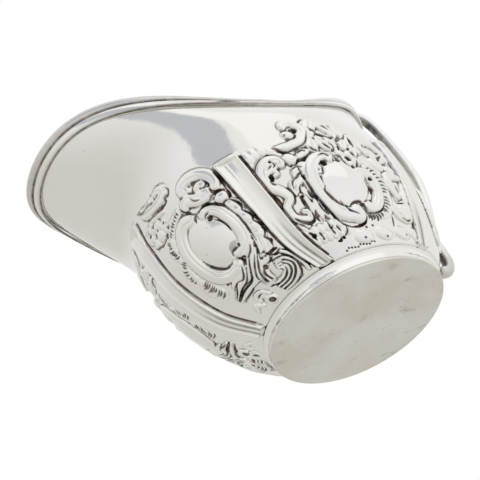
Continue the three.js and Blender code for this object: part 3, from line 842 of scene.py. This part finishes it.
def rim_section():
    """Section of the rim wire, out from and up the wall, in millimetres, and its darkening: oxide in the
    step's grooves and painted shade on the bead.
    """
    turns = np.radians(np.linspace(-35, 215, 22))
    x, y = BEAD_CENTRE
    bead = [(x + BEAD_RADIUS * math.cos(turn), y + BEAD_RADIUS * math.sin(turn)) for turn in turns]
    under = [(-1.1, 0.3), (0.3, 0.3), (0.3, -2.2)]
    step = [(0.75, -2.3), (1.0, -2.1), (1.15, -1.5), (1.15, -0.7), (1.05, 0.0), (0.85, 0.4), (0.72, 0.62)]
    # oxide in the step's grooves, and painted shade on the bead
    dark = [0.7] + [0.3] * (len(bead) - 1) + [0.0] * len(under) + [1.0, 0.8, 0.15, 0.0, 0.1, 0.8, 1.0]
    return np.array(bead + under + step), np.array(dark)


def rim_wire():
    """The rim wire, with oxide in its grooves, painted shade that grows towards the spout, and one painted
    dark reflection on its step.
    """
    section, dark = rim_section()
    angles = np.linspace(0, 2 * math.pi, RIM_COLUMNS, endpoint=False)
    edge = skin(angles, 1.0)
    out, up = skin_frame(angles, 1.0)
    rings = edge[:, None] + MM * (section[None, :, :1] * out[:, None] + section[None, :, 1:] * up[:, None])
    # painted shade, growing towards the spout
    spout_side_shade = np.clip(np.cos(angles) + 0.6, 0, 1)
    shade = (0.25 + 0.75 * spout_side_shade)[:, None] * dark
    # a painted dark reflection on the step
    dark_reflection = 0.9 * np.exp(-(((angles - RIM_REFLECTION_ANGLE) / 0.05) ** 4))
    shade[:, -5:] = np.maximum(shade[:, -5:], dark_reflection[:, None])
    return lofted("rim_wire_moulded", rings, shade, closes=True)


def foot():
    """The low wall of the foot, which flares a little to meet the bowl."""
    low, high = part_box("foot_collar")
    outer = FOOT_RADIUS - 0.1 * MM
    inner = FOOT_RADIUS - 3 * MM
    bottom = low.z - 0.2 * MM
    wall = high.z - bottom
    corners = [
        (inner, bottom), (outer, bottom), (outer - 0.2 * MM, bottom + 0.5 * wall),
        (outer + 0.2 * MM, bottom + 0.8 * wall), (outer + 1.2 * MM, high.z), (inner, high.z),
    ]
    return turned("foot_wall", eased(corners, 0.6 * MM), closes=True)


def base_plate():
    """The disc that closes the foot."""
    thickness = disc_high.z - disc_low.z
    inner = 0.97 * FOOT_RADIUS
    corners = [(inner, 0), (FOOT_RADIUS, 0), (FOOT_RADIUS, thickness), (inner, thickness)]
    return turned("foot_plate", eased(corners, 0.3 * MM, 8))


# Centre line of the handle as x and z in foot radii, from the rim over the loop and down to the free tail.
HANDLE_LINE = [
    (1.34, 2.45), (1.31, 2.7), (1.33, 2.9), (1.42, 3.02), (1.53, 2.93), (1.61, 2.68), (1.67, 2.25),
    (1.69, 1.85), (1.63, 1.5), (1.53, 1.2), (1.45, 1.0), (1.41, 0.84), (1.41, 0.66), (1.4, 0.52),
    (1.35, 0.43), (1.28, 0.42),
]


def seat_places():
    """Face and outward direction of the two seats: on the rim wire's step and on the back rib."""
    out, up = skin_frame(math.pi, 1.0)
    upper = skin(math.pi, 1.0) - 1.1 * MM * up + 1.4 * MM * out
    rib_out, _ = skin_frame(math.pi, LOWER_SEAT_RISE)
    lower = skin(math.pi, LOWER_SEAT_RISE) + RIB_CAP * MM * rib_out
    return (upper, out), (lower, rib_out)


def handle():
    """The bent rod of the handle, with a rounded free end. Its inner side, which faces the bowl, carries
    painted shade, and its free end is darker all round.
    """
    (face, out), _ = seat_places()
    start = [face + (SEAT_THICKNESS + lead) * MM * out for lead in (0.3, HANDLE_HALF_DEPTH)]
    line = [*start, *(np.array([x * FOOT_RADIUS, 0, z * FOOT_RADIUS]) for x, z in HANDLE_LINE)]
    centres = smooth_line(line, spacing=0.6 * MM)
    ahead = normalised(np.gradient(centres, axis=0))
    sideways = np.array([0.0, 1.0, 0.0])
    outward = np.cross(sideways, ahead)
    share = np.linspace(0, 1, len(centres))
    swell = np.interp(share, [0, 0.05, 0.12, 0.5, 0.85, 1], [1.25, 1.05, 0.95, 1.0, 1.05, 1.2])
    turns = np.linspace(0, 2 * math.pi, 40, endpoint=False)
    across = HANDLE_HALF_WIDTH * np.cos(turns)[None, :, None] * sideways
    through = HANDLE_HALF_DEPTH * np.sin(turns)[None, :, None] * outward[:, None]
    rings = centres[:, None] + MM * swell[:, None, None] * (across + through)
    # painted shade on the side that faces the bowl
    inner_side_shade = np.clip(1.6 * np.sin(turns) - 0.3, 0, 1)
    dark = np.interp(share, [0.2, 0.3, 0.4, 0.6, 0.88, 0.94], [0, 1, 0.7, 0.15, 0.1, 1])[:, None] * inner_side_shade
    # the free end is darker all round
    dark = np.maximum(dark, np.interp(share, [0.86, 0.95], [0, 0.3])[:, None])
    end = rings[-1] - centres[-1]
    dome = ahead[-1] * HANDLE_HALF_DEPTH * swell[-1] * MM
    bends = np.radians(np.arange(15, 90, 15))
    tail = [centres[-1] + dome * math.sin(bend) + end * math.cos(bend) for bend in bends]
    # the rounded end: painted shade on its inner side, and darker all round
    shade = np.concatenate([dark, np.tile(np.maximum(inner_side_shade, 0.3), (len(tail), 1))])
    return lofted("handle_loop_bent", np.concatenate([rings, tail]), shade)


def seat(name, place):
    """A round pad under an end of the handle, turned to face out of the bowl."""
    face, out = place
    corners = [
        (2, 0), (SEAT_RADIUS, 0), (SEAT_RADIUS, 0.6), (2.2, SEAT_THICKNESS), (1.5, SEAT_THICKNESS),
    ]
    plate = turned(name, eased(np.array(corners) * MM, 0.4 * MM), sides=64)
    turn = Vector((0, 0, 1)).rotation_difference(Vector(out)).to_matrix().to_4x4()
    plate.data.transform(Matrix.Translation(Vector(face)) @ turn)
    return plate


# ---- materials -------------------------------------------
WARM_TINT = (0.93, 0.905, 0.85)
SPECK_COLOUR = (0.2, 0.18, 0.15, 1)
# colours of oxide, which also paint the shade on the rim wire and the handle
BLACK_OXIDE_AND_SHADE = (0.02, 0.017, 0.014)
BROWN_OXIDE_AND_SHADE = (0.13, 0.06, 0.04)


def set_stops(ramp, stops):
    """Sets a colour ramp from places and their shades, each a grey or a colour."""
    elements = ramp.color_ramp.elements
    while len(elements) < len(stops):
        elements.new(0.5)
    for element, (position, shade) in zip(elements, stops):
        element.position = position
        element.color = (*shade, 1) if isinstance(shade, tuple) else (shade, shade, shade, 1)


class Recipe:
    """Adds nodes to one new material."""

    def __init__(self, name):
        self.material = bpy.data.materials.new(name)
        self.material.use_nodes = True
        self.new = self.material.node_tree.nodes.new
        self.link = self.material.node_tree.links.new
        self.shader = self.material.node_tree.nodes["Principled BSDF"]
        self.place = self.new("ShaderNodeTexCoord").outputs["Object"]

    def noise(self, scale, detail, stretch=(1, 1, 1), roughness=0.5):
        """Soft noise, with its scale for each foot radius."""
        mapping = self.new("ShaderNodeMapping")
        mapping.inputs["Scale"].default_value = stretch
        self.link(self.place, mapping.inputs["Vector"])
        texture = self.new("ShaderNodeTexNoise")
        texture.inputs["Scale"].default_value = scale / FOOT_RADIUS
        texture.inputs["Detail"].default_value = detail
        texture.inputs["Roughness"].default_value = roughness
        self.link(mapping.outputs["Vector"], texture.inputs["Vector"])
        return texture.outputs["Fac"]

    def ramp(self, value, stops):
        node = self.new("ShaderNodeValToRGB")
        set_stops(node, stops)
        self.link(value, node.inputs["Fac"])
        return node.outputs["Color"]

    def feed(self, targets, values):
        for target, value in zip(targets, values):
            if isinstance(value, bpy.types.NodeSocket):
                self.link(value, target)
            else:
                target.default_value = value

    def mixed(self, share, first, second):
        node = self.new("ShaderNodeMix")
        node.data_type = "RGBA"
        self.feed([socket for socket in node.inputs if socket.enabled], (share, first, second))
        return next(socket for socket in node.outputs if socket.enabled)

    def maths(self, operation, first, second):
        node = self.new("ShaderNodeMath")
        node.operation = operation
        self.feed(node.inputs, (first, second))
        return node.outputs["Value"]

    def times(self, first, second):
        return self.maths("MULTIPLY", first, second)

    def plus(self, first, second):
        return self.maths("ADD", first, second)

    def bump(self, height, strength, distance):
        node = self.new("ShaderNodeBump")
        node.inputs["Strength"].default_value = strength
        node.inputs["Distance"].default_value = distance
        self.link(height, node.inputs["Height"])
        return node


def silver_colour(recipe, colour, clouds, dark, stains):
    """Warm clouds, then smudges, then small dark specks, then the darkening: oxide in the hollows, and
    painted shade on the rim wire and the handle.
    """
    warm = tuple(channel * tint for channel, tint in zip(colour, WARM_TINT))
    base = recipe.mixed(recipe.times(clouds, stains * 4), (*colour, 1), (*warm, 1))
    smudges = recipe.ramp(recipe.noise(2.6, 7, (1, 1.7, 1), 0.68), [(0.57, 0.0), (0.71, 1.0)])
    smudged = tuple(0.55 * tint for tint in warm)
    base = recipe.mixed(recipe.times(smudges, 4 * stains**2), base, (*smudged, 1))
    cells = recipe.new("ShaderNodeTexVoronoi")
    cells.inputs["Scale"].default_value = 5.5 / FOOT_RADIUS
    cells.inputs["Randomness"].default_value = 1.0
    recipe.link(recipe.place, cells.inputs["Vector"])
    specks = recipe.ramp(cells.outputs["Distance"], [(0.025, 1.0), (0.055, 0.0)])
    base = recipe.mixed(recipe.times(specks, 0.55), base, SPECK_COLOUR)
    oxide_and_shade_colour = recipe.ramp(recipe.noise(9, 2), [(0.42, BLACK_OXIDE_AND_SHADE), (0.66, BROWN_OXIDE_AND_SHADE)])
    recipe.link(recipe.mixed(dark, base, oxide_and_shade_colour), recipe.shader.inputs["Base Color"])


def silver(name, colour, roughness, stains=0.1, scratches=0.05):
    """Silver with darkened hollows, painted shade where the mesh carries it, fine polishing scratches, soft
    stains and a few specks.
    """
    recipe = Recipe(name)
    recipe.shader.inputs["Metallic"].default_value = 1.0
    # the mesh's darkening: oxide in hollows, and painted shade on the rim wire and the handle
    oxide_and_shade_attribute = recipe.new("ShaderNodeAttribute")
    oxide_and_shade_attribute.attribute_name = "patina_and_shade"
    dark = recipe.times(oxide_and_shade_attribute.outputs["Fac"], recipe.ramp(recipe.noise(12, 3), [(0.3, 0.75), (0.62, 1.0)]))
    clouds = recipe.ramp(recipe.noise(1.1, 4, roughness=0.6), [(0.4, 0.0), (0.72, 1.0)])
    silver_colour(recipe, colour, clouds, dark, stains)

    # scratches from polishing, in two directions
    streaks = recipe.noise(3, 5, (1, 1, 30), 0.7)
    crossing = recipe.noise(3, 5, (24, 3, 2), 0.7)
    wear = recipe.plus(recipe.times(streaks, 0.5), recipe.times(crossing, 0.5))
    rough = recipe.plus(recipe.times(wear, scratches * 2), roughness - scratches)
    rough = recipe.plus(rough, recipe.times(clouds, stains * 0.6))
    rough = recipe.plus(rough, recipe.times(dark, 0.35))
    recipe.link(rough, recipe.shader.inputs["Roughness"])

    # the scratches' bump, under the soft unevenness of hammered sheet
    fine = recipe.bump(wear, 0.25, 0.02 * MM)
    hammered = recipe.bump(recipe.noise(6, 2), 0.6, 0.16 * MM)
    recipe.link(fine.outputs["Normal"], hammered.inputs["Normal"])
    recipe.link(hammered.outputs["Normal"], recipe.shader.inputs["Normal"])
    return recipe.material


def matt(name, colour, roughness):
    """A plain matt material for the studio, with its shader."""
    material = bpy.data.materials.new(name)
    material.use_nodes = True
    paint = material.node_tree.nodes["Principled BSDF"]
    paint.inputs["Base Color"].default_value = (*colour, 1)
    paint.inputs["Roughness"].default_value = roughness
    return material, paint


def finish_piece(piece, material, node):
    """Gives a piece its material, hangs it on the root body and hides the CAD node it stands for."""
    piece.data.materials.append(material)
    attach(piece, "root")
    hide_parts(node)


def dress_pieces():
    embossed = silver("embossed_silver", (0.81, 0.80, 0.775), 0.1)
    polished = silver("polished_silver", (0.83, 0.82, 0.795), 0.09)
    satin = silver("satin_silver", (0.72, 0.71, 0.68), 0.34, stains=0.4, scratches=0.1)
    upper, lower = seat_places()
    finish_piece(bowl(), embossed, "body_shell")
    finish_piece(rim_wire(), polished, "rim_wire")
    finish_piece(foot(), polished, "foot_collar")
    finish_piece(base_plate(), satin, "base_disc")
    finish_piece(handle(), polished, "handle_loop")
    finish_piece(seat("upper_seat", upper), polished, "handle_upper_seat")
    finish_piece(seat("lower_seat", lower), polished, "handle_lower_seat")


# ---- camera, floor and light -----------------------------
def view_directions(azimuth, elevation, roll):
    """Right, up and backward directions of a camera turned round the boat, then rolled."""
    a, e, r = (math.radians(turn) for turn in (azimuth, elevation, roll))
    back = Vector((math.sin(a) * math.cos(e), -math.cos(a) * math.cos(e), math.sin(e)))
    level = Vector((math.cos(a), math.sin(a), 0))
    above = back.cross(level)
    right = level * math.cos(r) - above * math.sin(r)
    up = level * math.sin(r) + above * math.cos(r)
    return right, up, back


def add_camera():
    """The camera looks up at the boat's near side, and is tilted so that the lip lies level."""
    right, up, back = view_directions(-28, -36, 28)
    aim = FOOT_RADIUS * Vector((-0.72, 0.12, 1.52))
    data = bpy.data.cameras.new("camera")
    data.lens = 94.7
    data.sensor_width = 36
    data.clip_start = FOOT_RADIUS
    data.clip_end = CLIP_END * FOOT_RADIUS
    camera = bpy.data.objects.new("camera", data)
    turn = Matrix((right, up, back)).transposed().to_4x4()
    camera.matrix_world = Matrix.Translation(aim + back * CAMERA_DISTANCE * FOOT_RADIUS) @ turn
    bpy.context.scene.collection.objects.link(camera)
    bpy.context.scene.camera = camera


def staged_sheet(name, half_width, half_height, material):
    """A flat sheet of the studio, which isn't part of the boat."""
    x, y = half_width * FOOT_RADIUS, half_height * FOOT_RADIUS
    mesh = bpy.data.meshes.new(name)
    mesh.from_pydata([(-x, -y, 0), (x, -y, 0), (x, y, 0), (-x, y, 0)], [], [(0, 1, 2, 3)])
    mesh.materials.append(material)
    sheet = bpy.data.objects.new(name, mesh)
    sheet.visible_shadow = False
    bpy.context.scene.collection.objects.link(sheet)
    return sheet


def add_floor():
    """A pale floor that is seen only from above, casts no shadow and doesn't show in the silver."""
    material, paint = matt("pale_floor", (0.8, 0.79, 0.77), 0.7)
    nodes, links = material.node_tree.nodes, material.node_tree.links
    clear = nodes.new("ShaderNodeBsdfTransparent")
    mix = nodes.new("ShaderNodeMixShader")
    links.new(nodes.new("ShaderNodeNewGeometry").outputs["Backfacing"], mix.inputs["Fac"])
    links.new(paint.outputs["BSDF"], mix.inputs[1])
    links.new(clear.outputs["BSDF"], mix.inputs[2])
    links.new(mix.outputs["Shader"], nodes["Material Output"].inputs["Surface"])
    floor = staged_sheet("floor", FLOOR_HALF, FLOOR_HALF, material)
    floor.location.z = -0.02 * MM
    floor.visible_glossy = False
    floor.visible_diffuse = False
    floor.visible_transmission = False


def face_boat(thing, direction):
    """Stands something off from the boat in a direction, turned to face it."""
    thing.location = Vector(direction).normalized() * STUDIO_DISTANCE * FOOT_RADIUS
    thing.rotation_euler = Vector(direction).to_track_quat("Z", "Y").to_euler()


def add_key_light():
    """A large soft light above the near side."""
    data = bpy.data.lights.new("key_light", "AREA")
    data.size = 20 * FOOT_RADIUS
    data.energy = 0.14
    lamp = bpy.data.objects.new("key_light", data)
    face_boat(lamp, (0.12, -0.82, 0.56))
    bpy.context.scene.collection.objects.link(lamp)


def add_card():
    """A blue-grey card beside the spout that only shows in the silver."""
    material, paint = matt("blue_grey_card_matt", (0.72, 0.76, 0.84), 0.9)
    paint.inputs["Specular IOR Level"].default_value = 0
    card = staged_sheet("blue_grey_card", 5, 5.5, material)
    card.visible_camera = False
    face_boat(card, (-0.66, -0.66, 0.36))


def add_room():
    """A studio tent, brightest above the near side and greyer below and behind, and a white backdrop."""
    world = bpy.data.worlds.new("studio")
    bpy.context.scene.world = world
    world.use_nodes = True
    nodes, links = world.node_tree.nodes, world.node_tree.links
    place = nodes.new("ShaderNodeTexCoord")
    towards = nodes.new("ShaderNodeVectorMath")
    towards.operation = "DOT_PRODUCT"
    towards.inputs[1].default_value = Vector((0.3, -0.75, 0.6)).normalized()
    shift = nodes.new("ShaderNodeMapRange")
    shift.inputs["From Min"].default_value = -1
    shift.inputs["From Max"].default_value = 1
    ramp = nodes.new("ShaderNodeValToRGB")
    links.new(place.outputs["Generated"], towards.inputs[0])
    links.new(towards.outputs["Value"], shift.inputs["Value"])
    links.new(shift.outputs["Result"], ramp.inputs["Fac"])
    set_stops(ramp, [(0.15, (0.74, 0.73, 0.70)), (0.5, 0.9), (0.7, 1)])
    tent = nodes["Background"]
    links.new(ramp.outputs["Color"], tent.inputs["Color"])
    backdrop = nodes.new("ShaderNodeBackground")
    backdrop.inputs["Color"].default_value = (1, 1, 1, 1)
    seen = nodes.new("ShaderNodeMixShader")
    links.new(nodes.new("ShaderNodeLightPath").outputs["Is Camera Ray"], seen.inputs["Fac"])
    links.new(tent.outputs["Background"], seen.inputs[1])
    links.new(backdrop.outputs["Background"], seen.inputs[2])
    links.new(seen.outputs["Shader"], nodes["World Output"].inputs["Surface"])


dress_pieces()
add_camera()
add_floor()
add_room()
add_key_light()
add_card()
bpy.context.scene.view_settings.view_transform = "Standard"
